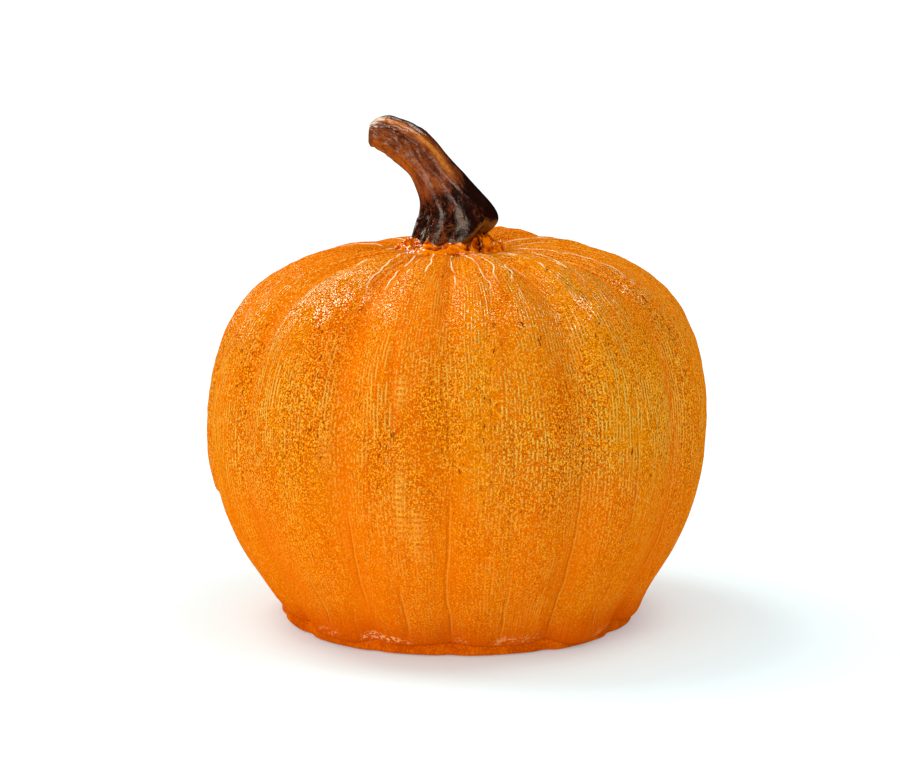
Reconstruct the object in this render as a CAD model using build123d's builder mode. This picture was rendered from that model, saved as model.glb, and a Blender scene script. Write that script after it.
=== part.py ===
"""Ceramic pumpkin figure: a ribbed hollow body on a foot slab, with a leaning stem set in its crown.

Millimetres, +Z up. The origin is the middle of the footprint on the resting plane.
The front of the figure faces -Y and the stem leans towards -X.
Azimuths are in degrees from the front, positive towards +X.
"""

import os
from math import cos, pi, radians, sin

from build123d import *

# ------------------------------------------------------------------ driving dimensions
BODY_RADIUS = 90.5  # to the crest of a rib at the widest height
CREST_HEIGHT = 134.5  # highest ring of the crown
FOOT_RADIUS = 65.0  # to the crest of a rib where the body meets the slab
SEAT_RADIUS = 17.5  # flat ring on the crown that the stem stands on
SEAT_HEIGHT = 133.0

WALL = 4.0  # thinnest wall, behind a groove
CROWN_TILT = 1.4  # the shoulder is this much lower on the -X side and higher on the +X side
RIB_RELIEF = 2.6  # depth of an average groove at the widest height

PAD_RADIUS = 7.0
PAD_THICKNESS = 0.8
PAD_CIRCLE_RADIUS = 46.0

SLAB_THICKNESS = 3.6
SLAB_PROJECTION = 0.9  # how far the slab's edge stands out past the body
SLAB_EDGE_ROUND = 1.2
LIP_HEIGHT = 3.0
LIP_WIDTH = 3.5
VENT_RADIUS = 4.0  # lets the kiln air out of the closed body

FIT_GAP = 0.3  # round the slab's lip and the stem's peg
PEG_RADIUS = 7.5
PEG_LENGTH = 9.0

STEM_FLUTES = 6
COLLAR_RADIUS = 20.5
COLLAR_HEIGHT = 5.0

# Groove azimuths, uneven as in a hand-finished mould, and how deep each is beside an average one.
GROOVES = [
    (-56, 0.9),
    (-26, 1.0),
    (-2.5, 0.9),
    (28.5, 1.3),
    (58, 0.9),
    (86, 0.7),
    (114, 0.85),
    (141, 1.1),
    (170, 0.9),
    (197, 1.0),
    (226, 0.85),
    (252, 1.0),
    (278, 1.1),
]

# ------------------------------------------------------------------ heights that follow
slab_bottom = PAD_THICKNESS
slab_top = slab_bottom + SLAB_THICKNESS
body_rise = CREST_HEIGHT - slab_top

# Outer profile over the rib crests, from the foot up over the shoulder to the stem's seat.
outline = Spline(
    (FOOT_RADIUS, 0, slab_top),
    (0.917 * BODY_RADIUS, 0, slab_top + 0.235 * body_rise),
    (0.990 * BODY_RADIUS, 0, slab_top + 0.395 * body_rise),
    (BODY_RADIUS, 0, slab_top + 0.545 * body_rise),
    (0.955 * BODY_RADIUS, 0, slab_top + 0.730 * body_rise),
    (0.800 * BODY_RADIUS, 0, slab_top + 0.895 * body_rise),
    (0.430 * BODY_RADIUS, 0, CREST_HEIGHT),
    (SEAT_RADIUS, 0, SEAT_HEIGHT),
)


def around(radius, azimuth, height):
    """A point at an azimuth measured from the front."""
    turn = radians(azimuth)
    return Vector(radius * sin(turn), -radius * cos(turn), height)


def rib_points():
    """Azimuths round the body, with how far each is pressed in: 0 on a crest, about 1 in a groove."""
    points = []
    for index, (start, depth) in enumerate(GROOVES):
        end, next_depth = GROOVES[(index + 1) % len(GROOVES)]
        width = (end - start) % 360
        for share in (0, 0.17, 0.5, 0.83):
            nearer = depth if share < 0.5 else next_depth
            points.append((start + share * width, nearer * (1 - sin(pi * share) ** 0.8)))
    return points


def skin_ring(position):
    """A closed loop of the outer skin at a share of the outline's length, pressed in at the grooves."""
    crest = outline @ position
    along = outline % position
    relief = RIB_RELIEF * (0.7 + 0.9 * position) * (1 - position**8)
    lift = 0 if position == 0 else relief * along.X
    tilt = CROWN_TILT * sin(pi * position) ** 2
    points = [
        around(
            crest.X - relief * press * along.Z,
            azimuth,
            crest.Z + lift * press + tilt * sin(radians(azimuth)),
        )
        for azimuth, press in rib_points()
    ]
    return Wire([Edge.make_spline(points, periodic=True)])


RING_POSITIONS = [0, 0.12, 0.24, 0.36, 0.48, 0.58, 0.68, 0.77, 0.86, 0.93, 1]
skin = Solid.make_loft([skin_ring(position) for position in RING_POSITIONS])

# ------------------------------------------------------------------ body shell
inset = RIB_RELIEF + WALL
mouth_radius = FOOT_RADIUS - inset
cavity_top = SEAT_HEIGHT - WALL - 2

with BuildPart() as body_shell:
    add(skin)
    with BuildSketch(Plane.XZ):
        with BuildLine():
            wall_line = Spline(
                (mouth_radius, slab_top),
                (0.903 * BODY_RADIUS - inset, slab_top + 0.235 * body_rise),
                (BODY_RADIUS - inset, slab_top + 0.52 * body_rise),
                (0.955 * BODY_RADIUS - inset - 1.5, slab_top + 0.72 * body_rise),
                (0.73 * BODY_RADIUS - inset, cavity_top - 10),
                (0.25 * BODY_RADIUS, cavity_top),
            )
            Line(wall_line @ 1, (0, cavity_top))
            Line((0, cavity_top), (0, slab_top))
            Line((0, slab_top), wall_line @ 0)
        make_face()
    revolve(axis=Axis.Z, mode=Mode.SUBTRACT)
    with Locations((0, 0, SEAT_HEIGHT)):
        Hole(PEG_RADIUS + FIT_GAP, depth=SEAT_HEIGHT - cavity_top + 1)

body_shell.part.label = "body_shell"

# ------------------------------------------------------------------ base slab
with BuildPart() as base_slab:
    with BuildSketch(Plane.XY.offset(slab_bottom)):
        with BuildLine():
            Spline(
                [
                    around(FOOT_RADIUS + SLAB_PROJECTION - 0.7 * RIB_RELIEF * press, azimuth, 0)
                    for azimuth, press in rib_points()
                ],
                periodic=True,
            )
        make_face()
    extrude(amount=SLAB_THICKNESS)
    rims = base_slab.edges().filter_by(GeomType.BSPLINE).group_by(Axis.Z)
    fillet([rims[0], rims[-1]], radius=SLAB_EDGE_ROUND)
    with BuildSketch(Plane.XY.offset(slab_top)):
        Circle(mouth_radius - FIT_GAP)
        Circle(mouth_radius - FIT_GAP - LIP_WIDTH, mode=Mode.SUBTRACT)
    extrude(amount=LIP_HEIGHT)
    with Locations((0, 0, slab_top)):
        Hole(VENT_RADIUS)

base_slab.part.label = "base_slab"

# ------------------------------------------------------------------ stem
# The stem's sections from its foot to its cut end: x, height, half thickness and lean from upright.
STEM_SECTIONS = [
    (-1.6, SEAT_HEIGHT, 14.8, 0),
    (-0.8, 142, 14.5, 0),
    (-0.8, 149.3, 13.0, 2),
    (-6.2, 157, 9.3, 13),
    (-10.9, 163.3, 7.6, 34),
    (-16.7, 169.7, 7.6, 55),
    (-25.5, 174.6, 6.6, 66),
    (-29.3, 175.4, 5.9, 80),
    (-30.7, 175.6, 5.2, 84),
    (-31.4, 175.6, 4.2, 84),
]


def stem_plane(x, height, lean):
    """The plane of one stem section, leaning towards -X."""
    turn = radians(lean)
    return Plane(origin=(x, 0, height), x_dir=(cos(turn), 0, sin(turn)), z_dir=(-sin(turn), 0, cos(turn)))


def fluted(radius, flute_depth):
    """A closed outline with rounded flutes, the sharpest at the stem's foot."""
    return [
        (
            radius * (1 - flute_depth * sin(STEM_FLUTES * turn / 2) ** 2) * cos(turn),
            radius * (1 - flute_depth * sin(STEM_FLUTES * turn / 2) ** 2) * sin(turn),
        )
        for turn in (2 * pi * step / (4 * STEM_FLUTES) for step in range(4 * STEM_FLUTES))
    ]


with BuildPart() as stem:
    for x, height, half_thickness, lean in STEM_SECTIONS:
        with BuildSketch(stem_plane(x, height, lean)):
            with BuildLine():
                Spline(fluted(half_thickness, 0.012 * half_thickness), periodic=True)
            make_face()
    loft()
    with BuildSketch(Plane.XY.offset(SEAT_HEIGHT)):
        Circle(PEG_RADIUS)
    extrude(amount=-PEG_LENGTH)

stem.part.label = "stem"

# ------------------------------------------------------------------ collar of set slip round the stem
# Rings of the collar before the crown and the stem are cut out of it: rise, radius and size of lumps.
COLLAR_RINGS = [
    (-3, COLLAR_RADIUS, 1.3),
    (0.5 * COLLAR_HEIGHT, COLLAR_RADIUS - 1.5, 1.3),
    (COLLAR_HEIGHT, COLLAR_RADIUS - 4.2, 0.5),
]


def ragged(azimuth):
    """The uneven edge of the collar: wider on the +X side, with lumps all round."""
    turn = radians(azimuth)
    return 0.8 * sin(turn) + 0.7 * sin(5 * turn) + 0.6 * cos(3 * turn)


with BuildPart() as stem_collar:
    for rise, radius, lump in COLLAR_RINGS:
        with BuildSketch(Plane.XY.offset(SEAT_HEIGHT + rise)):
            with BuildLine():
                Spline(
                    [around(radius + lump * ragged(azimuth), azimuth, 0) for azimuth in range(0, 360, 12)],
                    periodic=True,
                )
            make_face()
    loft()
    add(skin, mode=Mode.SUBTRACT)
    add(stem.part, mode=Mode.SUBTRACT)

stem_collar.part.label = "stem_collar"

# ------------------------------------------------------------------ felt pads
felt_pads = []
for number in range(4):
    azimuth = 45 + 90 * number
    spot = around(PAD_CIRCLE_RADIUS, azimuth, 0)
    with BuildPart() as felt_pad:
        with BuildSketch(Plane(origin=spot)):
            Circle(PAD_RADIUS)
        extrude(amount=PAD_THICKNESS)
    felt_pad.part.label = f"felt_pad_{number + 1}"
    felt_pads.append(felt_pad.part)

# ------------------------------------------------------------------ STEP files
os.makedirs("parts", exist_ok=True)
for piece in [body_shell.part, base_slab.part, stem.part, stem_collar.part, *felt_pads]:
    export_step(piece, f"parts/{piece.label}.step")
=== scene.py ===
"""Looks of the ceramic pumpkin figure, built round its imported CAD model. Metres, +Z up, front at -Y."""

from math import atan, cos, pi, radians, sin, tau

import bpy
import numpy as np
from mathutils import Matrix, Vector
from mathutils.bvhtree import BVHTree


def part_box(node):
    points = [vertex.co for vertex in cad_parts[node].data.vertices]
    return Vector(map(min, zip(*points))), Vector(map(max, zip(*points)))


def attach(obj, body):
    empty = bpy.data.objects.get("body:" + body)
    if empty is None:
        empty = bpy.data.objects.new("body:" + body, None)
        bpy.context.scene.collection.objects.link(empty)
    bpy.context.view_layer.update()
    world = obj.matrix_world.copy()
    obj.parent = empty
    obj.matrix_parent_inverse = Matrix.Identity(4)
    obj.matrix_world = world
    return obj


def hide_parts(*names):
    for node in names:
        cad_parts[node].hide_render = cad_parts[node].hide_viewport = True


MM = 0.001
BODY = "root"

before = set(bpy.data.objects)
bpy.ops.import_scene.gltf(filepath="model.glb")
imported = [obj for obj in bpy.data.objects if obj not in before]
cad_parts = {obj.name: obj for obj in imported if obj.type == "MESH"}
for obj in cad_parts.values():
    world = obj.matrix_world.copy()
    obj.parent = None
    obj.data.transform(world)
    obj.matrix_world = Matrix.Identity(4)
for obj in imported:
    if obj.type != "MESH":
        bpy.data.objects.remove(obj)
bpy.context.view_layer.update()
body_low, body_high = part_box("body_shell")
stem_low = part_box("stem")[0]
slab_low, slab_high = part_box("base_slab")
UP = np.array([0.0, 0.0, 1.0])


# -------- grids and random relief

def blend_weights(places, cells, closed):
    """Cubic B-spline weights that spread random values on a coarse lattice over finer places."""
    at = places * cells
    start = np.floor(at).astype(int)
    t = at - start
    weights = np.stack([(1 - t) ** 3, 3 * t**3 - 6 * t**2 + 4, -3 * t**3 + 3 * t**2 + 3 * t + 1, t**3]) / 6
    matrix = np.zeros((len(places), cells if closed else cells + 3))
    for step in range(4):
        column = (start + step) % cells if closed else np.minimum(start + step, cells + 2)
        np.add.at(matrix, (np.arange(len(places)), column), weights[step])
    return matrix


def ripples(up, around, cells_up, cells_around, seed):
    """Smooth random relief, about -1 to 1, on a grid that closes on itself round its axis."""
    lattice = np.random.default_rng(seed).uniform(-1.6, 1.6, (cells_up + 3, cells_around))
    rows = blend_weights(up, cells_up, closed=False)
    columns = blend_weights(around, cells_around, closed=True)
    return rows @ lattice @ columns.T


def smoothstep(low, high, value):
    t = np.clip((value - low) / (high - low), 0, 1)
    return t * t * (3 - 2 * t)


def turn_between(a, b):
    """The signed angle from b to a, in radians."""
    return (a - b + pi) % tau - pi


def grid_normals(points):
    """Outward normals of a grid whose rows run up the piece and whose columns run round it."""
    up = np.gradient(points, axis=0)
    around = np.roll(points, -1, axis=1) - np.roll(points, 1, axis=1)
    normal = np.cross(around, up)
    return normal / np.maximum(np.linalg.norm(normal, axis=2, keepdims=True), 1e-12)


def soften(field, passes):
    """Evens out a field on a closed grid: round every row, and up every row but the first and last."""
    for _ in range(passes):
        field = (np.roll(field, 1, 1) + 2 * field + np.roll(field, -1, 1)) / 4
        inner = (field[:-2] + 2 * field[1:-1] + field[2:]) / 4
        field = np.concatenate([field[:1], inner, field[-1:]])
    return field


def wander(up, cells, seed):
    """Smooth random values, about -1 to 1, one for each row."""
    return ripples(up, np.array([0.5]), cells, 4, seed)[:, 0]


def waver(around, cells, seed):
    """Smooth random values, about -1 to 1, one for each column."""
    return ripples(np.array([0.3]), around, 4, cells, seed)[0]


def near(turns, middle, spread):
    """1 at an azimuth, falling off to either side of it. All are in radians."""
    return np.exp(-((turn_between(turns, middle) / spread) ** 2))


def circle(count):
    """Even azimuths round the axis from the front, the same as shares of a turn, and the ways outward."""
    turns = np.arange(count) * tau / count
    return turns, np.arange(count) / count, np.stack([np.sin(turns), -np.cos(turns), 0 * turns], -1)


def tube_mesh(name, points, close_rows=False, caps=False, attributes=None):
    """A mesh over a grid of points, closed round its axis. caps fills both ends, close_rows joins them."""
    rows, columns = points.shape[:2]
    number = np.arange(rows * columns).reshape(rows, columns)
    lower = number if close_rows else number[:-1]
    upper = np.roll(number, -1, 0) if close_rows else number[1:]
    quads = np.stack([lower, np.roll(lower, -1, 1), np.roll(upper, -1, 1), upper], -1).reshape(-1, 4)
    faces = quads.tolist()
    if caps:
        faces.append(number[0][::-1].tolist())
        faces.append(number[-1].tolist())
    mesh = bpy.data.meshes.new(name)
    mesh.from_pydata(points.reshape(-1, 3).tolist(), [], faces)
    mesh.polygons.foreach_set("use_smooth", [True] * len(mesh.polygons))
    for key, value in (attributes or {}).items():
        kind, field = ("FLOAT_VECTOR", "vector") if value.ndim == 3 else ("FLOAT", "value")
        layer = mesh.attributes.new(key, kind, "POINT")
        layer.data.foreach_set(field, value.astype(np.float32).ravel())
    mesh.update()
    piece = bpy.data.objects.new(name, mesh)
    bpy.context.scene.collection.objects.link(piece)
    return piece


def surface_tree(mesh):
    """A search tree over a mesh's faces."""
    corners = [vertex.co.copy() for vertex in mesh.vertices]
    return BVHTree.FromPolygons(corners, [list(face.vertices) for face in mesh.polygons])


# -------- shader building

class Shader:
    """A material made by plain calls: every method returns the output it adds."""

    def __init__(self, name):
        self.material = bpy.data.materials.new(name)
        self.material.use_nodes = True
        self.tree = self.material.node_tree
        self.surface = self.tree.nodes["Principled BSDF"]

    def put(self, socket, value):
        if isinstance(value, bpy.types.NodeSocket):
            self.tree.links.new(value, socket)
        elif value is not None:
            socket.default_value = value

    def add(self, kind, output=0, inputs=None, **settings):
        node = self.tree.nodes.new("ShaderNode" + kind)
        for key, value in settings.items():
            setattr(node, key, value)
        for key, value in (inputs or {}).items():
            self.put(node.inputs[key], value)
        return node.outputs[output]

    def math(self, operation, a, b=None, c=None):
        return self.add("Math", 0, {0: a, 1: b, 2: c}, operation=operation)

    def times(self, a, b):
        return self.math("MULTIPLY", a, b)

    def times_plus(self, a, b, c):
        return self.math("MULTIPLY_ADD", a, b, c)

    def minus(self, a, b):
        return self.math("SUBTRACT", a, b)

    def larger(self, a, b):
        return self.math("MAXIMUM", a, b)

    def smaller(self, a, b):
        return self.math("MINIMUM", a, b)

    def size(self, a):
        return self.math("ABSOLUTE", a)

    def attribute(self, name, output="Fac"):
        return self.add("Attribute", output, attribute_name=name)

    def stretch(self, vector, scale):
        return self.add("VectorMath", 0, {0: vector, 1: scale}, operation="MULTIPLY")

    def noise(self, vector, cells, detail, roughness=0.5):
        """Noise of about 0 to 1, with a number of cells to the metre along each axis."""
        vector = self.stretch(vector, cells)
        inputs = {"Vector": vector, "Scale": 1.0, "Detail": detail, "Roughness": roughness}
        return self.add("TexNoise", 0, inputs)

    def ramp(self, value, low, high, start=0.0, end=1.0):
        """A smooth step from start, where the value is low, to end, where it is high."""
        inputs = {"Value": value, "From Min": low, "From Max": high, "To Min": start, "To Max": end}
        return self.add("MapRange", 0, inputs, interpolation_type="SMOOTHSTEP")

    def blend(self, factor, a, b):
        """A number that goes from a to b with the factor."""
        return self.add("Mix", 0, {0: factor, 2: a, 3: b})

    def mix(self, factor, a, b):
        """A colour that goes from a to b with the factor."""
        return self.add("Mix", 2, {0: factor, 6: a, 7: b}, data_type="RGBA")

    def bump(self, height):
        """Normals of a surface raised by a height in metres."""
        return self.add("Bump", 0, {"Height": height, "Distance": 1.0, "Strength": 1.0})

    def facing(self):
        """0 where the surface faces the viewer, 1 where it is seen edge on."""
        return self.add("LayerWeight", "Facing", {"Blend": 0.5})

    def finish(self, **values):
        for key, value in values.items():
            self.put(self.surface.inputs[key.replace("_", " ")], value)
        return self.material


def rgb(red, green, blue):
    """A linear colour from display values of 0 to 255."""
    def linear(value):
        share = value / 255
        return share / 12.92 if share <= 0.04045 else ((share + 0.055) / 1.055) ** 2.4
    return (linear(red), linear(green), linear(blue), 1.0)


BEADS_ROUND = 410
RAYS_ROUND = 150
RUNG_SPACING = 2.0 * MM
# Lengths of the cells that a thread is broken into: beads, then dashes.
THREAD_PERIODS = (1.15 * MM, 8 * MM)
# Heights between which the wet coat gains its full strength.
COAT_RISE = (92 * MM, 118 * MM)


def body_glaze():
    """Orange glaze over threads, beads and grain that follow the meridians."""
    shader = Shader("orange_glaze")
    skin = shader.attribute("skin", "Vector")
    place = shader.add("TexCoord", "Object")
    rough = shader.attribute("rough")
    crown = shader.attribute("crown")
    axes = shader.add("SeparateXYZ", inputs={0: skin}).node
    turn, arc = shader.math("ARCTAN2", axes.outputs[1], axes.outputs[0]), axes.outputs[2]
    sway = shader.noise(skin, (34, 34, 16), 2.0)
    in_dashes = shader.ramp(shader.noise(skin, (75, 75, 20), 1.0), 0.48, 0.62)

    def threads(count, sharpness, seed):
        """Threads round the body, broken into rows of beads or dashes, and painted shade in the gaps beside
        them.
        """
        around = shader.times_plus(turn, count / tau, shader.times(sway, count / 75))
        column = shader.times_plus(shader.math("FLOOR", around), 7.31, seed)
        wave = shader.times_plus(shader.math("COSINE", shader.times(around, tau)), -0.5, 0.5)
        rows = []
        for period in THREAD_PERIODS:
            lane = shader.add("CombineXYZ", 0, {0: column, 1: shader.math("DIVIDE", arc, period), 2: seed})
            rows.append(shader.ramp(shader.noise(lane, (1, 1, 1), 0.0), 0.45, 0.6))
        broken = shader.blend(in_dashes, *rows)
        gap_shade = shader.math("POWER", shader.minus(1.0, wave), 3.0)
        ridge = shader.math("POWER", wave, sharpness)
        return shader.times(ridge, broken), shader.times(gap_shade, broken)

    beads, bead_gap_shade = threads(BEADS_ROUND, 2.6, 3.7)
    rays, ray_gap_shade = threads(RAYS_ROUND, 4.0, 9.2)
    rung = shader.math("COSINE", shader.times(arc, tau / RUNG_SPACING))
    rungs = shader.times(shader.times_plus(rung, 0.5, 0.5), shader.attribute("ladder"))
    clusters = shader.ramp(shader.noise(skin, (60, 60, 26), 2.0), 0.36, 0.52)
    clusters = shader.times(clusters, shader.times(rough, rough))
    strands = shader.times(shader.larger(shader.blend(crown, beads, rays), rungs), clusters)
    shade_beside_threads = shader.times(shader.blend(crown, bead_gap_shade, ray_gap_shade), clusters)

    cells = {"Vector": shader.stretch(place, (1250, 1250, 1050)), "Scale": 1.0}
    pebbles = shader.add("TexVoronoi", 0, cells).node
    dome = shader.ramp(pebbles.outputs["Distance"], 0.55, 0.1)
    chance = shader.add("SeparateColor", 0, {0: pebbles.outputs["Color"]})
    dots = shader.times(dome, shader.ramp(chance, 0.3, 1.0))
    grain = shader.noise(place, (2000, 2000, 1650), 1.0, 0.45)
    patches = shader.ramp(shader.noise(skin, (45, 45, 22), 2.0), 0.35, 0.6, 0.6, 1.15)
    grit = shader.times(rough, patches)
    peaks = shader.times(shader.ramp(grain, 0.55, 0.645), grit)
    pores = shader.times(shader.ramp(grain, 0.51, 0.37), grit)
    dimples = shader.noise(skin, (300, 300, 120), 1.0)
    comb = shader.noise(skin, (840, 840, 46), 1.0)
    specks = shader.ramp(shader.noise(skin, (950, 950, 420), 1.0), 0.65, 0.71)
    flecked = shader.ramp(shader.noise(skin, (85, 85, 40), 2.0), 0.45, 0.6)
    flecks = shader.times(specks, shader.times(flecked, rough))

    # Fine lines: a fold is a shallow crack with painted shade, and a painted highlight 0.8 mm to one side.
    fold_off, fold = shader.attribute("fold_off"), shader.attribute("fold")
    crack = shader.times(shader.ramp(shader.size(fold_off), 0.6, 0.1), fold)
    fold_highlight = shader.times(shader.ramp(shader.size(shader.minus(fold_off, 0.8)), 0.45, 0.1), fold)
    # Painted highlights along the raised lines round the collar.
    line_off = shader.size(shader.attribute("line_off"))
    line = shader.times(shader.ramp(line_off, 0.32, 0.1), shader.attribute("line"))
    # Painted glints in a broken row just above the foot.
    marks = shader.noise(skin, (620, 620, 1100), 1.0)
    seam_glints = shader.times(shader.attribute("seam_glints"), shader.ramp(marks, 0.54, 0.6))

    height = shader.times(strands, 0.30 * MM)
    height = shader.times_plus(dots, 0.20 * MM, height)
    height = shader.times_plus(grain, 0.34 * MM, height)
    height = shader.times(height, rough)
    height = shader.times_plus(comb, 0.42 * MM, height)
    height = shader.times_plus(dimples, 0.55 * MM, height)
    height = shader.times_plus(crack, -0.14 * MM, height)
    drops = shader.times_plus(strands, 0.12 * MM, shader.times(dots, 0.10 * MM))
    drops = shader.times_plus(dimples, 0.5 * MM, drops)

    # The clear coat is whole only on raised spots, so its reflections are separate glints.
    wet = shader.times(shader.larger(shader.times(strands, 0.9), shader.times(dots, 0.9)), rough)
    wet = shader.larger(wet, shader.times(peaks, 0.75))
    wet = shader.times(wet, shader.times_plus(crown, -0.35, 1.0))
    wet = shader.times(shader.ramp(wet, 0.4, 0.8), shader.ramp(shader.facing(), 0.92, 0.7))
    level = shader.add("SeparateXYZ", 2, {0: place})
    wet = shader.times(wet, shader.ramp(level, *COAT_RISE, 0.06, 1.0))
    wet = shader.times(wet, shader.minus(1.0, flecks))

    gold = shader.ramp(shader.noise(skin, (52, 52, 10), 3.0, 0.6), 0.38, 0.68, 0.05, 0.75)
    body = shader.mix(shader.times(gold, rough), rgb(243, 112, 0), rgb(240, 138, 0))
    body = shader.mix(shader.attribute("golden"), body, rgb(250, 156, 6))
    body = shader.mix(shader.attribute("crest"), rgb(236, 108, 0), body)
    # Painted shade between the pebble domes and in the gaps beside the threads, over the grain's dark pores.
    hollows = shader.times(shader.times(shader.minus(1.0, dome), rough), 0.3)
    gaps = shader.larger(hollows, shader.times(shade_beside_threads, 0.75))
    gaps = shader.smaller(shader.larger(gaps, shader.times(pores, 0.74)), 1.0)
    # Painted highlights on the beads and threads.
    raised = shader.times(shader.times(dots, 0.9), rough)
    raised = shader.smaller(shader.larger(raised, strands), 1.0)
    # What lies over the base colour, from the bottom up: how strong it is, and its colour.
    layers = [
        # Painted shade, together with the grain's dark pores.
        (gaps, rgb(154, 58, 0)),
        # Light spots of the grain, partly painted glints.
        (shader.times(peaks, 0.9), rgb(255, 178, 30)),
        (shader.ramp(comb, 0.52, 0.7, 0.0, 0.35), rgb(214, 92, 0)),
        # Painted highlights on the beads and threads.
        (raised, rgb(255, 194, 78)),
        (shader.times(shader.attribute("foot"), 0.85), rgb(212, 80, 0)),
        # Painted shade in the folds, then the painted highlight beside them.
        (shader.times(crack, 0.26), rgb(150, 56, 0)),
        (shader.times(fold_highlight, 0.26), rgb(255, 178, 60)),
        # Painted glints above the foot.
        (shader.times(seam_glints, 0.8), rgb(255, 196, 130)),
        # Painted highlights on the crown lines.
        (line, rgb(255, 238, 200)),
        (shader.times(flecks, 0.9), rgb(130, 54, 2)),
    ]
    for strength, colour in layers:
        body = shader.mix(strength, body, colour)
    return shader.finish(
        Base_Color=body, Roughness=0.5, Normal=shader.bump(height), Coat_Weight=wet, Coat_Roughness=0.05,
        Coat_IOR=2.5, Coat_Normal=shader.bump(drops), Specular_IOR_Level=0.0,
    )


# -------- body

BODY_COLUMNS = 480
BODY_ROWS = 186
EQUATOR = (body_high.x - body_low.x) / 2
CENTRE = Vector((0, 0, 0.52 * body_high.z))
# A distance from the middle that is outside the body in every direction.
OUTSIDE = 0.2
# The skin's lowest and highest rows: distance from the axis, and height above the foot or below the top.
FOOT_RADIUS, FOOT_LIFT = 0.0635, 0.2 * MM
SEAT_RADIUS, SEAT_DROP = 17.8 * MM, 1.6 * MM
# Rings of the seat under the collar, and the rows and the highest angle above level of the cavity's wall.
SEAT_MIDDLE, PEG_HOLE_RADIUS = 13 * MM, 7.8 * MM
CAVITY_ROWS, CAVITY_TOP = 16, radians(70)
# Azimuths of the grooves between the ribs, in degrees from the front.
GROOVES = [-56, -26, -2.5, 28.5, 58, 86, 114, 141, 170, 197, 226, 252, 278]
# Narrow creases between the grooves: azimuth in degrees from the front, depth and half width in mm.
CREASES = [(-14.6, 0.9, 1.0), (11.3, 0.5, 1.4), (43, 0.4, 1.4), (-40, 0.4, 1.6), (100, 0.5, 1.2),
           (155, 0.8, 1.0), (183, 0.4, 1.6), (240, 0.6, 1.2), (266, 0.4, 1.5), (70, 0.4, 1.4)]
# Where the crown stands higher or lower than its mean: azimuth and spread in degrees, rise in mm.
CROWN_LIFTS = [(155, 16, 2.8), (228, 26, -1.0)]
# How far the foot of the body lies in from the CAD shape, and how deep and wide each groove notches it: mm,
# mm and degrees. Then how far the foot of each rib stands out: azimuth and spread in degrees, rise in mm.
FOOT_INSET, NOTCH_DEPTH, NOTCH_SPREAD = 0.3, 1.3, 3.2
FOOT_LOBES = [(-66, 9, -0.4), (-37, 14, 2.6), (-14, 9, 0.8), (13, 12, 1.2), (40, 13, 4.0), (72, 10, 2.0),
              (101, 10, 2.8), (127, 10, 1.2), (155, 11, 0.6), (184, 10, 1.1), (211, 11, 0.7), (239, 10, 1.6),
              (263, 10, 2.5)]
# Strips of thread with rungs: azimuth in degrees, lowest and highest height and half width in mm.
LADDERS = [(-12.5, 44, 104, 1.6), (-30, 66, 84, 1.4), (-9, 36, 60, 2.2), (120, 50, 90, 1.8),
           (205, 44, 86, 1.8)]
# Thin raised lines that run out from the collar: azimuths in degrees at three distances from the axis in mm.
CROWN_LINE_RADII = (20, 38, 64)
CROWN_LINES = [(12, 21, 19.5), (3, 8, 11), (-6, -3, -0.5), (-21, -13, -11.5), (-36, -28, -24.5),
               (-45, -35, -30), (8, 14, 14.5), (19, 27, 29), (40, 37, 35), (55, 47, 43), (-60, -48, -43),
               (-29, -20, -18), (75, 68, 66), (100, 108, 110), (130, 124, 121), (160, 158, 163),
               (190, 197, 199), (222, 216, 219), (250, 246, 241), (272, 277, 280)]
# A line's height and half width in mm. It fades in over LINE_START and out over LINE_END, distances from the
# axis in mm, and the farthest of these is one LINE_STEP shorter with each line in a run of four.
LINE_HEIGHT, LINE_WIDTH = 0.3, 0.45
LINE_START, LINE_END, LINE_STEP = (19, 24), (74, 50), 7
# Between these distances from a line, in mm, its strength fades to nothing, so two lines never meet.
LINE_FADE = (3.2, 1.8)
# How features come in with height: where they are absent, then where they are whole.
FOLDS_FOOT, FOLDS_TOP = (5 * MM, 12 * MM), (112 * MM, 74 * MM)
RUN_FOOT, RUN_TOP = (44 * MM, 46.5 * MM), (85 * MM, 55 * MM)
SEAM_GLINTS_FOOT, SEAM_GLINTS_TOP = (4.6 * MM, 5.6 * MM), (8.6 * MM, 7.2 * MM)
PITTED_RISE = (55 * MM, 85 * MM)
ROUGH_RISE = (30 * MM, 78 * MM)
CRUMPLE_RISE = (40 * MM, 80 * MM)
FOOT_TINT = (17 * MM, 4 * MM)
# The same with distance from the axis, over the crown.
CROWN_SWELL = (78 * MM, 60 * MM)
CROWN_RAYS = (62 * MM, 46 * MM)
# Azimuths of single features: the run of thick glaze, the patch with golden pits, and the stretch where the
# foot's painted glints are strongest.
RUN_PLACE = radians(-92)
PITTED_PLACE = radians(36)
SEAM_GLINTS_PLACE = radians(-22)
# The distance in mm that stands for no line near a point.
NO_LINE = 9.0


def base_lobes(turns):
    """How far the foot of the body stands out at each azimuth, in mm."""
    lobes = -FOOT_INSET * np.ones_like(turns)
    for azimuth in GROOVES:
        lobes -= NOTCH_DEPTH * near(turns, radians(azimuth), radians(NOTCH_SPREAD))
    for azimuth, spread, rise in FOOT_LOBES:
        lobes += rise * near(turns, radians(azimuth), radians(spread))
    return lobes


def outward(azimuth, lift):
    """A direction from the body's middle, by azimuth from the front and angle above level."""
    return Vector((sin(azimuth) * cos(lift), -cos(azimuth) * cos(lift), sin(lift)))


def body_grid(tree, lifts, turns, from_inside=False):
    """Points where rays through the body's middle meet its outer or its inner wall."""
    points = []
    for lift in lifts:
        for turn in turns:
            way = outward(turn, lift)
            start = CENTRE if from_inside else CENTRE + OUTSIDE * way
            points.append(tree.ray_cast(start, way if from_inside else -way)[0])
    return np.array(points).reshape(len(lifts), len(turns), 3)


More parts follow.
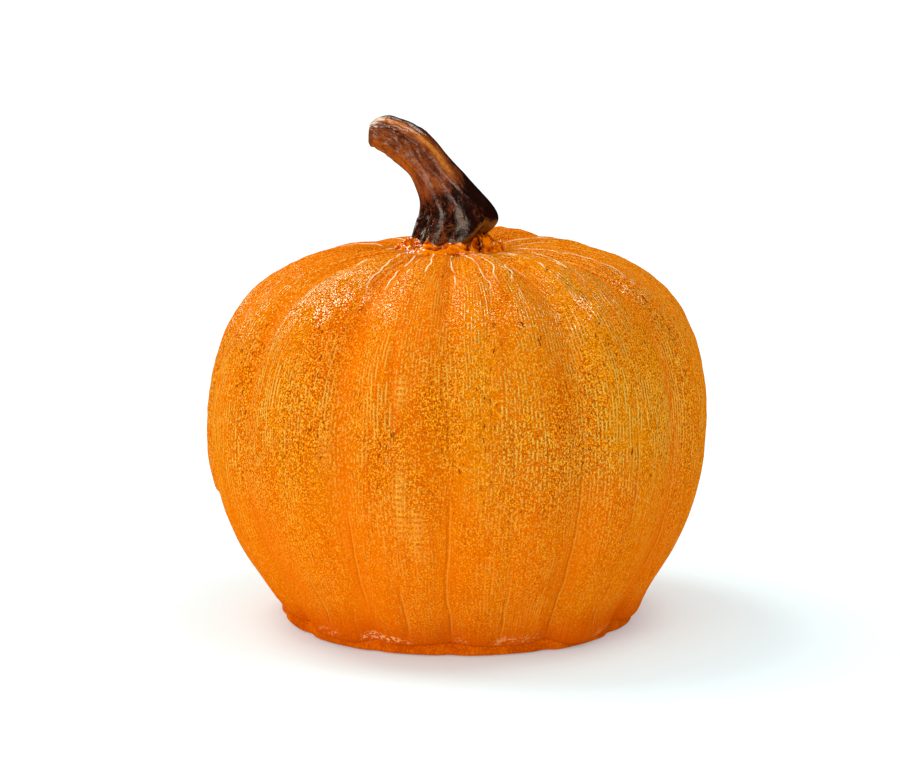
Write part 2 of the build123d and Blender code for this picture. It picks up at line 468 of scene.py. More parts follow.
def even_lifts(tree, low, high, count):
    """Angles above level that cut the outer wall into rows of even width, and each row's place along it."""
    lifts = np.linspace(low, high, 200)
    ring = body_grid(tree, lifts, circle(12)[0])
    profile = np.stack([np.hypot(ring[..., 0], ring[..., 1]).mean(1), ring[..., 2].mean(1)], -1)
    arc = np.concatenate([[0], np.cumsum(np.linalg.norm(np.diff(profile, axis=0), axis=1))])
    places = np.linspace(0, arc[-1], count)
    return np.interp(places, arc, lifts), places


def carve(radius, turns, path, width):
    """How much each point lies in a groove, 0 to 1. The path is the groove's azimuth at each row."""
    off = turn_between(turns[None, :], path[:, None]) * radius
    return np.exp(-((off / width) ** 2))


def add_line(lines, off, strength):
    """Keeps, at each point, the signed distance in mm to the nearest line so far, and its strength there."""
    nearer = np.abs(off) < np.abs(lines[0])
    strength = strength * smoothstep(*LINE_FADE, np.abs(off))
    return np.where(nearer, off, lines[0]), np.where(nearer, strength, lines[1])


def crown_lines(up, turns, radius, height):
    """The raised lines round the collar: their relief in mm, and the nearest one's distance and strength."""
    lines = np.full_like(radius, NO_LINE), np.zeros_like(radius)
    relief = np.zeros_like(radius)
    from_axis = radius.mean(1) / MM
    for number, azimuths in enumerate(CROWN_LINES):
        path = np.radians(np.interp(from_axis, CROWN_LINE_RADII, azimuths))
        path += 0.02 * wander(up, 50, 120 + number)
        off = turn_between(turns[None, :], path[:, None]) * radius / MM
        farthest = LINE_END[0] - number % 4 * LINE_STEP
        span = smoothstep(*LINE_START, from_axis) * smoothstep(farthest, LINE_END[1], from_axis)
        broken = smoothstep(-0.6, 0.1, wander(up, 60, 150 + number))
        strength = (span * broken * (height.mean(1) > CENTRE.z))[:, None]
        lines = add_line(lines, off, strength)
        relief += LINE_HEIGHT * strength * np.exp(-((off / LINE_WIDTH) ** 2))
    return relief, lines


def fold_lines(up, turns, radius, height, paths):
    """The fine folds along the grooves and creases: the distance to the nearest, and its strength."""
    folds = np.full_like(radius, NO_LINE), np.zeros_like(radius)
    span = smoothstep(*FOLDS_TOP, height) * smoothstep(*FOLDS_FOOT, height)
    for number, path in enumerate(paths):
        path = path + 0.005 * wander(up, 46, 240 + number)
        off = turn_between(turns[None, :], path[:, None]) * radius / MM
        strength = smoothstep(-0.35, 0.4, wander(up, 12, 270 + number))[:, None] * span
        folds = add_line(folds, off, strength)
    return folds


def body_relief(up, around, turns, radius, height):
    """What the skin adds to the CAD shape, in mm, and the masks that the glaze needs."""
    grooves = [radians(azimuth) + 0.018 * wander(up, 7, 20 + number)
               for number, azimuth in enumerate(GROOVES)]
    creases = [radians(row[0]) + 0.02 * wander(up, 6, 50 + number) for number, row in enumerate(CREASES)]
    crest, smooth = np.ones_like(radius), np.zeros_like(radius)
    relief = 0.42 * ripples(up, around, 9, 26, 1) + 0.25 * ripples(up, around, 22, 60, 2)
    strands = ripples(up, around, 12, 220, 3) + 0.8 * ripples(up, around, 45, 220, 4)
    relief += 0.14 * strands * (0.7 + 0.5 * ripples(up, around, 5, 24, 5))
    for number, path in enumerate(grooves):
        plain = number % 3 == 1  # every third groove is smoother and redder
        relief -= 0.35 * carve(radius, turns, path, 3 * MM)
        crest -= (0.25 + 0.3 * plain) * carve(radius, turns, path, 5.5 * MM)
        smooth += (0.4 + 0.6 * plain) * carve(radius, turns, path, 4 * MM)
    for number, (path, (_, depth, width)) in enumerate(zip(creases, CREASES)):
        fade = smoothstep(-0.3, 0.4, wander(up, 5, 80 + number))[:, None]
        relief -= depth * fade * carve(radius, turns, path, width * MM)
        crest -= 0.3 * fade * carve(radius, turns, path, 2 * width * MM)
    for azimuth, spread, rise in CROWN_LIFTS:
        band = smoothstep(*CROWN_SWELL, radius) * (height > CENTRE.z)
        relief += rise * near(turns, radians(azimuth), radians(spread)) * band
    # A run of thick glaze ends in a step on the left.
    run = carve(radius, turns, RUN_PLACE + 0 * up, 14 * MM)
    relief += 1.1 * run * smoothstep(*RUN_FOOT, height) * smoothstep(*RUN_TOP, height)
    relief += 0.16 * ripples(up, around, 100, 230, 10) * smoothstep(*CRUMPLE_RISE, height)
    relief *= (smoothstep(0, 0.04, up) * smoothstep(1, 0.93, up))[:, None]
    line_relief, lines = crown_lines(up, turns, radius, height)
    flare = smoothstep(0.07, 0, up)[:, None]
    relief += line_relief + flare * (base_lobes(turns) + 0.35 * ripples(up, around, 30, 70, 6))

    # Painted glints in a broken row just above the foot, strongest at the front left.
    seam_glints = smoothstep(*SEAM_GLINTS_TOP, height) * smoothstep(*SEAM_GLINTS_FOOT, height)
    seam_glints = seam_glints * (0.35 + 0.65 * near(turns, SEAM_GLINTS_PLACE, radians(26)))
    seam_glints = seam_glints * smoothstep(0.1, 0.5, ripples(up, around, 60, 90, 11))
    pitted = near(turns, PITTED_PLACE, radians(28)) * smoothstep(*PITTED_RISE, height)
    rough = smoothstep(*ROUGH_RISE, height + 14 * MM * ripples(up, around, 5, 22, 7))
    rough = 0.48 + 0.52 * rough * (0.8 + 0.25 * ripples(up, around, 6, 30, 8)) - 0.22 * smooth + 0.3 * pitted
    ladder = np.zeros_like(radius)
    for azimuth, low, high, width in LADDERS:
        strip = carve(radius, turns, radians(azimuth) + 0 * up, width * MM)
        ladder += strip * smoothstep(low, low + 6, height / MM) * smoothstep(high, high - 6, height / MM)
    fold_off, fold = fold_lines(up, turns, radius, height, grooves + creases)
    masks = {
        "crest": crest, "rough": rough, "ladder": ladder, "seam_glints": seam_glints,
        "crown": smoothstep(*CROWN_RAYS, radius) * (height > CENTRE.z),
        "line_off": lines[0], "line": lines[1], "fold_off": fold_off, "fold": fold,
        "foot": 0.85 * smoothstep(*FOOT_TINT, height + 3 * MM * ripples(up, around, 8, 30, 9)),
        "golden": pitted * (0.55 + 0.4 * ripples(up, around, 8, 60, 12)),
    }
    return relief, masks


def make_body():
    """The ribbed shell: skin with creases, lumps and strands, closed by its seat, cavity and mouth."""
    tree = surface_tree(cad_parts["body_shell"].data)
    turns, around, ring = circle(BODY_COLUMNS)
    low = -atan((CENTRE.z - body_low.z - FOOT_LIFT) / FOOT_RADIUS)
    high = atan((body_high.z - SEAT_DROP - CENTRE.z) / SEAT_RADIUS)
    lifts, arc = even_lifts(tree, low, high, BODY_ROWS)
    skin = body_grid(tree, lifts, turns)
    middle = np.array(CENTRE)
    reach = np.linalg.norm(skin - middle, axis=2)
    skin = middle + (skin - middle) * (soften(reach, 4) / reach)[..., None]
    up = np.linspace(0, 1, BODY_ROWS)
    radius = np.hypot(skin[..., 0], skin[..., 1])
    relief, masks = body_relief(up, around, turns, radius, skin[..., 2])
    skin = skin + grid_normals(skin) * relief[..., None] * MM

    inside = np.linspace(CAVITY_TOP, low + 0.04, CAVITY_ROWS)
    cavity = body_grid(tree, inside, turns, from_inside=True)
    seat_height = skin[-1, :, 2].mean()
    seat = [ring * size + seat_height * UP for size in (SEAT_MIDDLE, PEG_HOLE_RADIUS)]
    bottom_of_hole = ring * PEG_HOLE_RADIUS + cavity[0, :, 2].mean() * UP
    mouth = cavity[-1] * (1 - UP) + body_low.z * UP
    points = np.concatenate([skin, np.stack(seat), bottom_of_hole[None], cavity, mouth[None]])
    extra = len(points) - BODY_ROWS
    # The glaze's own space: the body unrolled on a cylinder, with the length of skin as its height.
    arc = np.concatenate([arc, np.full(extra, arc[-1])])
    attributes = {"skin": ring[None] * EQUATOR + arc[:, None, None] * UP}
    for key, value in masks.items():
        attributes[key] = np.concatenate([value, np.repeat(value[-1:], extra, 0)]).clip(-3, 3)
    body = tube_mesh("pumpkin_body", points, close_rows=True, attributes=attributes)
    body.data.materials.append(body_glaze())
    return body, (turns, np.hypot(skin[0, :, 0], skin[0, :, 1]))


# -------- stem

STEM_COLUMNS = 240
STEM_ROWS = 200
TIP_ROWS = 34
TIP_LENGTH = 7.5 * MM
# Rays that find the CAD stem start this far from its middle line.
STEM_CLEAR = 30 * MM
# How far the left of the cut end leans back, as a share of the stem's radius, and from how near the end.
CUT_LEAN, CUT_REACH = 0.28, 9 * MM
# The face of the cut end, ring by ring: share of its radius, and how far it sinks in, in mm.
CUT_FACE = ((0.9, 0.05), (0.8, 0.3), (0.65, 0.55), (0.45, 0.6), (0.25, 0.5), (0.05, 0.45))
# The stem's middle line from its foot to its cut end: x and height in mm.
STEM_LINE = [(-1.6, 131), (-1.2, 137.5), (-0.8, 144), (-2.0, 150.5), (-6.0, 157), (-10.9, 163.3),
             (-16.5, 169.6), (-22.8, 174.2), (-31.6, 177.0)]
# Folds of the stem: azimuth in degrees at each share of its length, then depth in mm (ridges are above 0),
# half width in radians, and the shares between which the fold fades in and out.
STEM_FOLDS = [
    (((0.1, 66), (0.2, 56), (0.31, 39), (0.4, 28), (0.53, 28), (0.7, 34)), 0.6, 0.05, 0.14, 0.62),
    (((0.1, 78), (0.2, 68), (0.31, 51), (0.4, 40), (0.53, 40), (0.7, 46)), -0.7, 0.10, 0.16, 0.60),
    (((0.1, 52), (0.2, 42), (0.31, 28), (0.4, 18), (0.53, 19), (0.7, 26)), -0.35, 0.14, 0.10, 0.52),
    (((0.1, 26), (0.3, 14), (0.5, 8)), 0.35, 0.22, 0.12, 0.5),
    (((0.1, -50), (0.25, -48), (0.4, -42), (0.6, -36)), 0.7, 0.07, 0.02, 0.5),
    (((0.1, -32), (0.25, -31), (0.4, -27), (0.6, -24)), -0.35, 0.2, 0.02, 0.42),
    (((0.1, -70), (0.4, -64)), -0.4, 0.14, 0.05, 0.45),
    (((0.1, 118), (0.4, 100), (0.8, 92)), -1.2, 0.16, 0.05, 0.7),
    (((0.1, 150), (0.4, 140), (0.8, 135)), 0.8, 0.14, 0.05, 0.7),
    (((0.1, 180), (0.4, 172), (0.8, 178)), -1.4, 0.15, 0.05, 0.75),
    (((0.1, 215), (0.4, 220), (0.8, 214)), 0.7, 0.12, 0.05, 0.6),
    (((0.1, 248), (0.4, 244), (0.8, 250)), -1.2, 0.14, 0.05, 0.65),
    (((0.5, 18), (0.7, 22), (0.9, 30)), -0.5, 0.16, 0.55, 0.97),
    (((0.5, 44), (0.7, 48), (0.95, 62)), 0.35, 0.10, 0.5, 0.97),
    (((0.5, -14), (0.7, -10), (0.9, -4)), 0.3, 0.14, 0.5, 0.92),
]


def stem_frame():
    """The stem's rows: share of its length, distance from its end, middle points, ways across and along."""
    line = np.array(STEM_LINE) * MM
    length = np.linalg.norm(np.diff(line, axis=0), axis=1).sum()
    start = 1 - TIP_LENGTH / length
    tip = start + (1 - start) * np.sin(np.linspace(0, pi / 2, TIP_ROWS + 1))[1:]
    share = np.concatenate([np.linspace(0, start, STEM_ROWS), tip])
    steps = np.linspace(0, 1, 400)
    knots = np.linspace(0, 1, len(line))
    fine = np.stack([np.interp(steps, knots, line[:, axis]) for axis in (0, 1)], -1)
    for _ in range(1500):
        fine[1:-1] = (fine[:-2] + 2 * fine[1:-1] + fine[2:]) / 4
    middle = np.stack([np.interp(share, steps, fine[:, axis]) for axis in (0, 1)], -1)
    slope = np.gradient(fine, axis=0)
    slope = np.stack([np.interp(share, steps, slope[:, axis]) for axis in (0, 1)], -1)
    slope /= np.linalg.norm(slope, axis=1, keepdims=True)
    none = 0 * share
    centre = np.stack([middle[:, 0], none, middle[:, 1]], -1)
    side = np.stack([slope[:, 1], none, -slope[:, 0]], -1)
    along = np.stack([slope[:, 0], none, slope[:, 1]], -1)
    return share, length * (1 - share), centre, side, along


def stem_reach(tree, share, from_end, centre, ways):
    """How far the CAD stem's surface lies from its middle line, smoothed, with a slight taper at its tip."""
    reach = np.zeros((len(share), STEM_COLUMNS))
    for row in range(STEM_ROWS):
        for column in range(STEM_COLUMNS):
            way, start = Vector(ways[row, column]), Vector(centre[row])
            place = tree.ray_cast(start + STEM_CLEAR * way, -way, STEM_CLEAR)[0]
            reach[row, column] = (place - start).length if place else reach[row - 1, column]
    taper = 1 - 0.05 * (1 - from_end[STEM_ROWS:] / TIP_LENGTH)
    reach[STEM_ROWS:] = reach[STEM_ROWS - 1] * taper[:, None]
    return soften(reach, 6)


def stem_folds(share, turns):
    """The height in mm of the stem's folds."""
    fold = np.zeros((len(share), len(turns)))
    for number, (path, rise, width, first, last) in enumerate(STEM_FOLDS):
        places, azimuths = zip(*path)
        bend = np.radians(np.interp(share, places, azimuths)) + 0.07 * wander(share, 9, 130 + number)
        span = smoothstep(first - 0.08, first + 0.08, share) * smoothstep(last + 0.08, last - 0.08, share)
        fold += rise * span[:, None] * near(turns[None, :], bend[:, None], width)
    return fold


def stem_relief(share, around, turns):
    """Lumps, pits and dents of the stem in mm, over and above its folds."""
    rows = share[:, None]
    relief = 0.28 * ripples(share, around, 5, 9, 101) + 0.16 * ripples(share, around, 14, 22, 102)
    pits = 1 - 2 * np.abs(ripples(share, around, 34, 44, 104))
    pitted = (0.35 + near(turns, radians(10), radians(48))) * smoothstep(0.62, 0.78, rows)
    relief += 0.34 * pits * pitted * smoothstep(1, 0.93, rows)
    relief += 0.38 * ripples(share, around, 20, 26, 105) * smoothstep(0.5, 0.3, rows)
    relief += 0.07 * ripples(share, around, 26, 90, 106)
    swell = smoothstep(0.34, 0.5, rows) * smoothstep(0.84, 0.64, rows)
    return relief + 1.2 * near(turns, radians(90), radians(55)) * swell


def cut_end(reach, turns, from_end):
    """Rounds the stem's radii off towards its cut end, with a raised lip on the left."""
    rounding = (1.7 + 4.6 * ((1 + np.sin(turns)) / 2) ** 1.4)[None, :] * MM
    inside = np.clip(rounding - from_end[:, None], 0, None)
    reach = reach - (rounding - np.sqrt(rounding**2 - inside**2))
    edge = from_end[:, None] / MM
    lip = 0.2 * np.exp(-(((edge - 0.9) / 0.5) ** 2)) - 0.35 * np.exp(-(((edge - 2.2) / 0.6) ** 2))
    return reach + near(turns, radians(-95), radians(38)) * MM * lip


def stem_amber(share, around, turns, fold):
    """How amber the stem's glaze is, about 0 where it is darkest to 1: amber where it is thin, and where
    light and shade are painted.
    """
    rows = share[:, None]
    amber = 0.48 * smoothstep(0.40, 0.52, rows + 0.05 * ripples(share, around, 12, 16, 107))
    # Painted light shining through the stem: a stripe along its upper right, and a patch on its lower left.
    stripe = near(turns[None, :], radians(47) + 0.25 * (rows - 0.7), 0.25)
    amber += 0.62 * stripe * smoothstep(0.44, 0.56, rows)
    amber += 0.22 * near(turns, radians(-60), 0.5) * smoothstep(0.45, 0.6, rows)
    # Painted shade along the right edge, then a darker band beside the stripe.
    amber -= 0.55 * near(turns, radians(88), 0.42)
    amber -= 0.25 * near(turns[None, :], radians(24) + 0.3 * (rows - 0.6), 0.2)
    amber += 0.16 * ripples(share, around, 18, 24, 108) + 0.10 * ripples(share, around, 60, 70, 109)
    # Painted highlight on the ridges of the folds, and painted shade in their hollows.
    return amber + 0.16 * fold


def make_stem():
    """The fluted stem: the CAD stem's shape with folds, hollows, pits and a rounded cut end."""
    tree = surface_tree(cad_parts["stem"].data)
    share, from_end, centre, side, along = stem_frame()
    turns, around, _ = circle(STEM_COLUMNS)
    front = np.array([0, -1.0, 0])
    ways = np.sin(turns)[None, :, None] * side[:, None] + np.cos(turns)[None, :, None] * front
    fold = stem_folds(share, turns)
    reach = stem_reach(tree, share, from_end, centre, ways) + (fold + stem_relief(share, around, turns)) * MM
    reach = cut_end(reach, turns, from_end)
    lean = CUT_LEAN * np.clip(-np.sin(turns), 0, 1) * smoothstep(CUT_REACH, 0, from_end)[:, None] * reach
    points = centre[:, None] + ways * reach[..., None] - along[:, None] * lean[..., None]
    face = [centre[-1] + (points[-1] - centre[-1]) * size - along[-1] * sink * MM for size, sink in CUT_FACE]
    peg = points[:1] * (1 - UP) + stem_low.z * UP
    points = np.concatenate([peg, points, np.stack(face)])

    extra = len(CUT_FACE)
    amber = stem_amber(share, around, turns, fold)
    amber = np.concatenate([amber[:1], amber, np.repeat(amber[-1:], extra, 0)])
    rise = np.concatenate([share[:1], share, np.ones(extra)])[:, None] * np.ones(STEM_COLUMNS)
    bark = np.stack([np.sin(turns) + 0 * rise, -np.cos(turns) + 0 * rise, rise], -1)
    stem = tube_mesh("pumpkin_stem", points, caps=True, attributes={"bark": bark, "amber": amber})
    stem.data.materials.append(stem_glaze())
    return stem


def stem_glaze():
    """Dark glass-like glaze: amber where thin, red-brown to near black where it pools, plus painted light and
    shade.
    """
    shader = Shader("brown_glaze")
    bark = shader.attribute("bark", "Vector")
    place = shader.add("TexCoord", "Object")
    streaks = shader.noise(bark, (7, 7, 9), 4.0, 0.65)
    fine = shader.noise(place, (900, 900, 900), 3.0, 0.6)
    amber = shader.times_plus(shader.minus(streaks, 0.5), 1.3, shader.attribute("amber"))
    amber = shader.times_plus(shader.minus(fine, 0.5), 0.9, amber)
    colour = shader.mix(shader.ramp(amber, -0.1, 0.35), rgb(38, 9, 2), rgb(118, 49, 9))
    colour = shader.mix(shader.ramp(amber, 0.35, 0.75), colour, rgb(164, 80, 18))
    colour = shader.mix(shader.ramp(amber, 0.75, 1.3), colour, rgb(226, 134, 40))
    relief = shader.bump(shader.times(shader.math("ADD", fine, streaks), 0.24 * MM))
    return shader.finish(
        Base_Color=colour, Roughness=0.45, Normal=relief, Coat_Weight=shader.ramp(shader.facing(), 0.85, 0.5),
        Coat_Roughness=0.13, Coat_IOR=2.3, Coat_Normal=relief, Specular_IOR_Level=0.1,
    )


# -------- collar

COLLAR_COLUMNS = 360
COLLAR_ROWS = 46
# Rays that measure the stem's foot: their height, how far from the axis they start, and the length taken for
# one that misses.
RAY_HEIGHT, RAY_START, RAY_DEFAULT = 137 * MM, 40 * MM, 28 * MM
# The collar's inner edge lies this far inside the stem's surface, but no nearer the axis than this, clear of
# the peg's hole. Its outer edge lies this far out from the stem, and it climbs this high. All are in mm.
COLLAR_TUCK, COLLAR_INNER = 2.5, 8.6
COLLAR_WIDTH, COLLAR_CLIMB = 6.0, 6.2
# Lumps of the collar: azimuth in degrees and radius in mm, spread in degrees and mm, and rise in mm.
COLLAR_LUMPS = [(98, 17.8, 20, 3.2, 6.2), (72, 18.5, 10, 2.0, 1.8), (-13, 15.0, 8, 1.8, 2.0),
                (14, 15.5, 9, 2.0, -1.6), (38, 16.5, 9, 1.8, 1.3), (-42, 16.0, 8, 1.6, 1.5),
                (-78, 18.5, 9, 2.0, 1.9), (-100, 16.5, 12, 2.2, 1.2), (140, 17.0, 14, 2.5, 2.0),
                (180, 16.0, 12, 2.2, 1.2), (215, 17.0, 12, 2.2, 1.8), (128, 19.5, 8, 1.6, 1.2)]


def stem_foot(bark, ring):
    """The stem's radius in mm at the height of the collar, smoothed."""
    gaps = []
    for way in ring:
        start = Vector(way * RAY_START + RAY_HEIGHT * UP)
        gaps.append(bark.ray_cast(start, Vector(-way))[3] or RAY_DEFAULT)
    return soften((RAY_START - np.array([gaps] * 3)) / MM, 30)[1]


def make_collar(body, stem):
    """The ragged ring of slip: lumps and wrinkles that climb the stem's foot and thin out over the crown."""
    crown, bark = surface_tree(body.data), surface_tree(stem.data)
    turns, around, ring = circle(COLLAR_COLUMNS)
    share = np.linspace(0, 1, COLLAR_ROWS)
    foot = stem_foot(bark, ring)
    edge = foot + COLLAR_WIDTH + 0.9 * waver(around, 13, 201) + 2.6 * near(turns, radians(92), radians(32))
    edge += 0.6 * waver(around, 40, 202)
    inner = np.maximum(foot - COLLAR_TUCK, COLLAR_INNER)
    radius = inner + (edge - inner) * share[:, None]
    broad = ripples(share, around, 4, 14, 203)
    folds = 1 - 2.2 * np.abs(ripples(share, around, 5, 21, 204))
    wrinkles = 1 - 2.2 * np.abs(ripples(share, around, 14, 76, 205))
    crease = 0.55 * folds + 0.42 * wrinkles
    climb = COLLAR_CLIMB + 1.2 * np.sin(turns - 0.4)
    thick = climb * (1 - share[:, None]) ** 1.5 + 0.3
    for azimuth, where, spread, width, rise in COLLAR_LUMPS:
        off = turn_between(turns[None, :], radians(azimuth)) / radians(spread)
        thick += rise * np.exp(-(off**2) - ((radius - where) / width) ** 2)
    thick += 0.5 * broad + crease
    thick = np.maximum(thick, 0.15) * smoothstep(1.02, 0.82, share)[:, None]
    flat = ring * radius[..., None] * MM
    seat = np.zeros_like(radius)
    for place in np.ndindex(seat.shape):
        seat[place] = crown.ray_cast(Vector(flat[place] + OUTSIDE * UP), Vector(-UP))[0].z
    top = flat + (seat + thick * MM)[..., None] * UP
    under = (flat + (seat - 0.5 * MM)[..., None] * UP)[::5]
    points = np.concatenate([top[::-1], under])
    # Painted shade: darker in the creases and towards the stem's foot, lighter on the ridges.
    tone = 0.5 + 0.42 * crease + 0.1 * broad + 0.25 * (share[:, None] - 0.5)
    tone = np.concatenate([tone[::-1], np.repeat(tone[:1], len(under), 0)])
    collar = tube_mesh("pumpkin_collar", points, close_rows=True, attributes={"tone": tone})
    collar.data.materials.append(collar_glaze())
    return collar


def collar_glaze():
    """Thick wet-looking orange glaze, turned brown in its creases by painted shade."""
    shader = Shader("collar_glaze")
    place = shader.add("TexCoord", "Object")
    grain = shader.noise(place, (900, 900, 900), 2.0)
    blotch = shader.noise(place, (330, 330, 330), 3.0)
    wet = shader.ramp(shader.noise(place, (800, 800, 800), 1.0), 0.54, 0.6)
    tone = shader.times_plus(shader.minus(blotch, 0.5), 1.8, shader.attribute("tone"))
    colour = shader.mix(shader.ramp(tone, 0.15, 0.6), rgb(60, 15, 0), rgb(196, 78, 0))
    colour = shader.mix(shader.ramp(tone, 0.5, 0.95), colour, rgb(250, 136, 2))
    return shader.finish(
        Base_Color=colour, Roughness=0.4, Normal=shader.bump(shader.times(grain, 0.35 * MM)), Coat_Weight=wet,
        Coat_Roughness=0.04, Coat_IOR=2.6, Specular_IOR_Level=0.0,
    )


# -------- base slab

SLAB_COLUMNS = 400
VENT_RADIUS = 4 * MM
# Radii in mm of the rings under the slab, and of its top: the face that the body stands on, then the lip.
SLAB_UNDER = (30, 50)
SEAT_RING, LIP_OUTER, LIP_INNER, FLOOR_RING = 59, 58.1, 54.6, 30
# The rim's outline from its foot to its top: how far it lies in from the body's foot in mm, share of its
# height, and how strongly it is beaded.
SLAB_EDGE = [(3.0, 0.0, 0), (1.6, -0.03, 0), (0.8, -0.1, 0), (0.35, -0.1, 0), (0.1, 0.0, 0), (0.0, 0.2, 0),
             (0.0, 0.5, 0.1), (0.05, 0.76, 0.4), (0.1, 0.9, 0.8), (0.22, 1.02, 1.0), (0.45, 1.12, 0.8),
             (0.9, 1.16, 0.4), (1.5, 1.1, 0.1), (2.6, 1.0, 0)]


def make_slab(foot):
    """The foot slab: a lobed disc with an uneven, softly beaded rim, a locating lip and a vent hole."""
    turns, around, ring = circle(SLAB_COLUMNS)
    low, high, lip = slab_low.z, body_low.z, slab_high.z
    rim = np.interp(turns, np.append(foot[0], tau), np.append(foot[1], foot[1][0]))
    rim = rim - 0.05 * MM + 0.12 * MM * waver(around, 40, 301)
    swell = 0.11 * MM * (1 + waver(around, 110, 302))
    points = [ring * VENT_RADIUS + low * UP]
    points += [ring * radius * MM + low * UP for radius in SLAB_UNDER]
    for inset, share, beads in SLAB_EDGE:
        spread = (rim - inset * MM + beads * swell)[:, None]
        lift = low + (high - low) * share + 0.7 * beads * swell[:, None]
        points.append(ring * spread + lift * UP)
    for radius, height in ((SEAT_RING, high), (LIP_OUTER, high), (LIP_OUTER, lip), (LIP_INNER, lip),
                           (LIP_INNER, high), (FLOOR_RING, high)):
        points.append(ring * radius * MM + height * UP)
    points.append(ring * VENT_RADIUS + high * UP)
    slab = tube_mesh("pumpkin_slab", np.stack(points), close_rows=True)
    slab.data.materials.append(slab_glaze())
    return slab


def slab_glaze():
    """The body's glaze where it pools on the rim: deeper orange, with grain, pores and a few wet spots."""
    shader = Shader("rim_glaze")
    place = shader.add("TexCoord", "Object")
    grain = shader.noise(place, (1700, 1700, 1450), 1.0, 0.45)
    blotch = shader.noise(place, (160, 160, 160), 3.0)
    spots = shader.noise(place, (700, 700, 500), 1.0)
    colour = shader.mix(shader.ramp(blotch, 0.35, 0.65), rgb(210, 84, 0), rgb(230, 104, 0))
    colour = shader.mix(shader.ramp(grain, 0.5, 0.36, 0.0, 0.3), colour, rgb(160, 60, 0))
    colour = shader.mix(shader.ramp(grain, 0.52, 0.64, 0.0, 0.22), colour, rgb(255, 156, 12))
    relief = shader.bump(shader.times(grain, 0.3 * MM))
    return shader.finish(
        Base_Color=colour, Roughness=0.5, Normal=relief, Coat_Weight=shader.ramp(spots, 0.62, 0.68),
        Coat_Roughness=0.06, Coat_IOR=1.8, Coat_Normal=relief, Specular_IOR_Level=0.0,
    )


# -------- felt pads

def felt():
    """Pressed grey-brown felt with short fibres."""
    shader = Shader("felt")
    place = shader.add("TexCoord", "Object")
    fibres = shader.noise(place, (2600, 900, 1800), 4.0, 0.7)
    clumps = shader.noise(place, (400, 400, 400), 2.0)
    tone = shader.mix(shader.ramp(fibres, 0.35, 0.65), rgb(58, 54, 50), rgb(108, 102, 94))
    colour = shader.mix(shader.ramp(clumps, 0.4, 0.7, 0.0, 0.4), tone, rgb(128, 120, 110))
    relief = shader.bump(shader.times(fibres, 0.25 * MM))
    return shader.finish(Base_Color=colour, Roughness=0.95, Normal=relief, Sheen_Weight=0.4)


PAD_COLUMNS = 96
# The pad's section from its middle below to its middle above: shares of its radius and of its thickness.
PAD_PROFILE = ((0.02, 0), (0.5, 0), (0.95, 0), (0.985, 0.12), (1, 0.5), (0.985, 0.9), (0.95, 1), (0.02, 1))


def make_pad(node, number, material):
    """A felt disc with a soft, slightly frayed edge, pressed thin under the slab."""
    low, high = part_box(node)
    middle = (low + high) / 2
    radius = (high.x - low.x) / 2
    _, around, ring = circle(PAD_COLUMNS)
    fray = 0.12 * MM * waver(around, 40, 400 + number)
    points = []
    for size, height in PAD_PROFILE:
        spread = (radius * size + fray * (size > 0.9))[:, None]
        points.append(ring * spread + np.array([middle.x, middle.y, low.z + (high.z - low.z) * height]))
    pad = tube_mesh(f"pumpkin_felt_{number}", np.stack(points), caps=True)
    pad.data.materials.append(material)
    return pad


# -------- putting the figure together

def place(piece, node, slot):
    """Rides a piece on the body, in place of its CAD node."""
    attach(piece, BODY)
    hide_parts(node)


body, foot = make_body()
place(body, "body_shell", "orange_glaze")
stem = make_stem()
place(make_collar(body, stem), "stem_collar", "collar_glaze")
place(stem, "stem", "brown_glaze")
place(make_slab(foot), "base_slab", "rim_glaze")
felt_material = felt()
for number in range(1, 5):
    place(make_pad(f"felt_pad_{number}", number, felt_material), f"felt_pad_{number}", "felt")


# -------- floor, light and camera

WARM = (1.0, 0.93, 0.82)
FLOOR_DARK, FLOOR_LIGHT = (0.675, 0.825, 0.875, 1), (0.695, 0.845, 0.895, 1)
FLOOR_GLOW, GLOW_STRENGTH = (0.83, 0.95, 1.0, 1), 0.24
WORLD_LIGHT, WORLD_SEEN = 0.70, 1.05
CAMERA_PLACE, CAMERA_AIM = Vector((0, -1.0, 0.262)), Vector((-0.0028, 0, 0.0844))
LENS, SENSOR = 112.4, 36


def make_floor():
    """A plain pale floor, cool enough to stay neutral under the warm lamps, and unseen in the gloss."""
    shader = Shader("studio_floor")
    soft = shader.noise(shader.add("TexCoord", "Object"), (1, 1, 1), 2.0)
    shader.finish(Base_Color=shader.mix(soft, FLOOR_DARK, FLOOR_LIGHT), Roughness=0.9, Specular_IOR_Level=0.0,
                  Emission_Color=FLOOR_GLOW, Emission_Strength=GLOW_STRENGTH)
    bpy.ops.mesh.primitive_plane_add(size=30)
    floor = bpy.context.object
    floor.name = "studio_floor"
    floor.data.materials.append(shader.material)
    floor.visible_glossy = False


def add_lamp(name, kind, place, strength, colour):
    """A lamp of a kind at a place. A sun's strength is its energy, and an area light's is in watts."""
    light = bpy.data.lights.new(name, kind)
    light.energy = strength
    light.color = colour
    lamp = bpy.data.objects.new(name, light)
    lamp.location = place
    bpy.context.scene.collection.objects.link(lamp)
    return lamp


def sun_light(name, place, spread, strength, colour=WARM):
    """A distant soft light that shines from a place towards the figure. The spread is in degrees."""
    lamp = add_lamp(name, "SUN", place, strength, colour)
    lamp.data.angle = radians(spread)
    lamp.rotation_euler = Vector(place).to_track_quat("Z", "Y").to_euler()
    return lamp


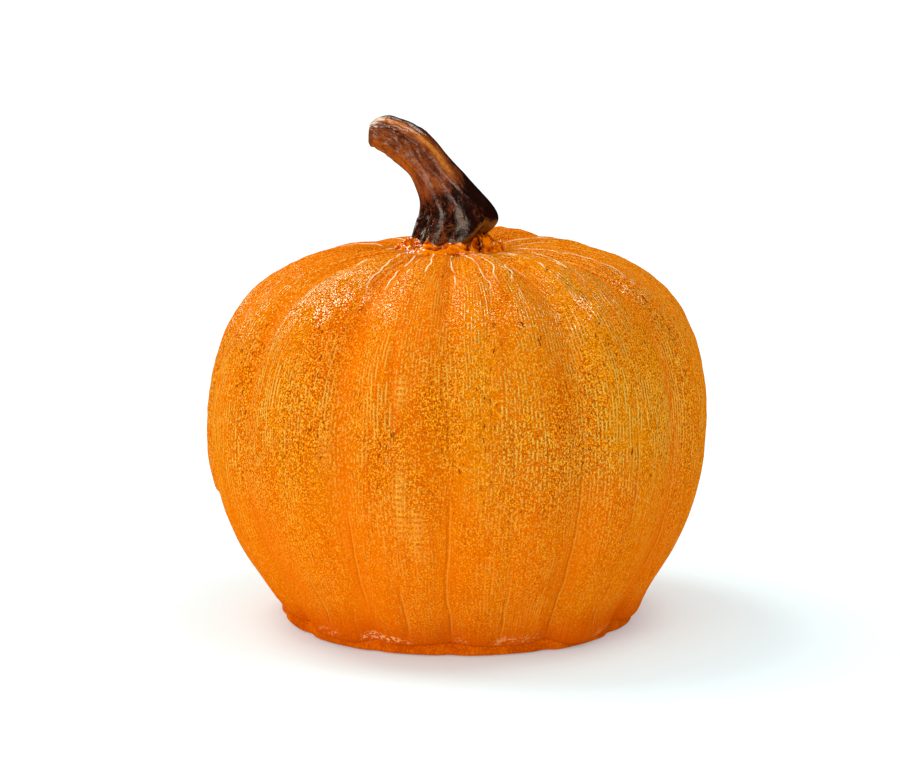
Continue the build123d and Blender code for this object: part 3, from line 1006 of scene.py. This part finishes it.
def area_light(name, place, aim, size, watts, colour):
    """A round soft light at a place, facing its aim."""
    lamp = add_lamp(name, "AREA", place, watts, colour)
    lamp.data.shape = "DISK"
    lamp.data.size = size
    lamp.rotation_euler = (Vector(aim) - Vector(place)).to_track_quat("-Z", "Y").to_euler()
    return lamp


def make_world():
    """Plain white round the camera's view, a little dimmer as light, and unseen in the gloss."""
    world = bpy.data.worlds.new("studio")
    bpy.context.scene.world = world
    world.use_nodes = True
    tree = world.node_tree
    background = tree.nodes["Background"]
    background.inputs[0].default_value = (1, 1, 1, 1)
    rays = tree.nodes.new("ShaderNodeLightPath")
    strength = tree.nodes.new("ShaderNodeMapRange")
    strength.inputs["To Min"].default_value = WORLD_LIGHT
    strength.inputs["To Max"].default_value = WORLD_SEEN
    tree.links.new(rays.outputs["Is Camera Ray"], strength.inputs["Value"])
    tree.links.new(strength.outputs[0], background.inputs[1])
    world.cycles_visibility.glossy = False


def make_camera():
    """A long lens about a metre in front, a little above the figure."""
    camera = bpy.data.cameras.new("camera")
    camera.lens = LENS
    camera.sensor_width = SENSOR
    holder = bpy.data.objects.new("camera", camera)
    bpy.context.scene.collection.objects.link(holder)
    holder.location = CAMERA_PLACE
    holder.rotation_euler = (CAMERA_AIM - CAMERA_PLACE).to_track_quat("-Z", "Y").to_euler()
    bpy.context.scene.camera = holder


make_floor()
make_world()
sun_light("key", (-0.5, 0.3, 0.9), 30, 1.25)
sun_light("top", (0.32, 0.0, 0.95), 24, 0.6)
# Lamps that only show in the gloss make its glints without lighting the glaze: one behind the left of the
# figure, and a warmer twin of the soft light at the front, which in turn doesn't show in the gloss.
sun_light("back_gloss", (-0.36, 0.84, 0.42), 46, 1.8, (1.0, 0.93, 0.72)).visible_diffuse = False
FRONT_LEFT = {"place": (-0.85, -0.75, 0.5), "aim": (0, 0, 0.1), "size": 0.9}
area_light("front_left", **FRONT_LEFT, watts=1.8, colour=WARM).visible_glossy = False
area_light("front_gloss", **FRONT_LEFT, watts=2.2, colour=(1.0, 0.86, 0.66)).visible_diffuse = False
area_light("front_low", (-0.42, -0.62, 0.17), (0, 0, 0.15), 0.5, 0.9, (1.0, 0.78, 0.6))
make_camera()
bpy.context.scene.view_settings.view_transform = "Standard"
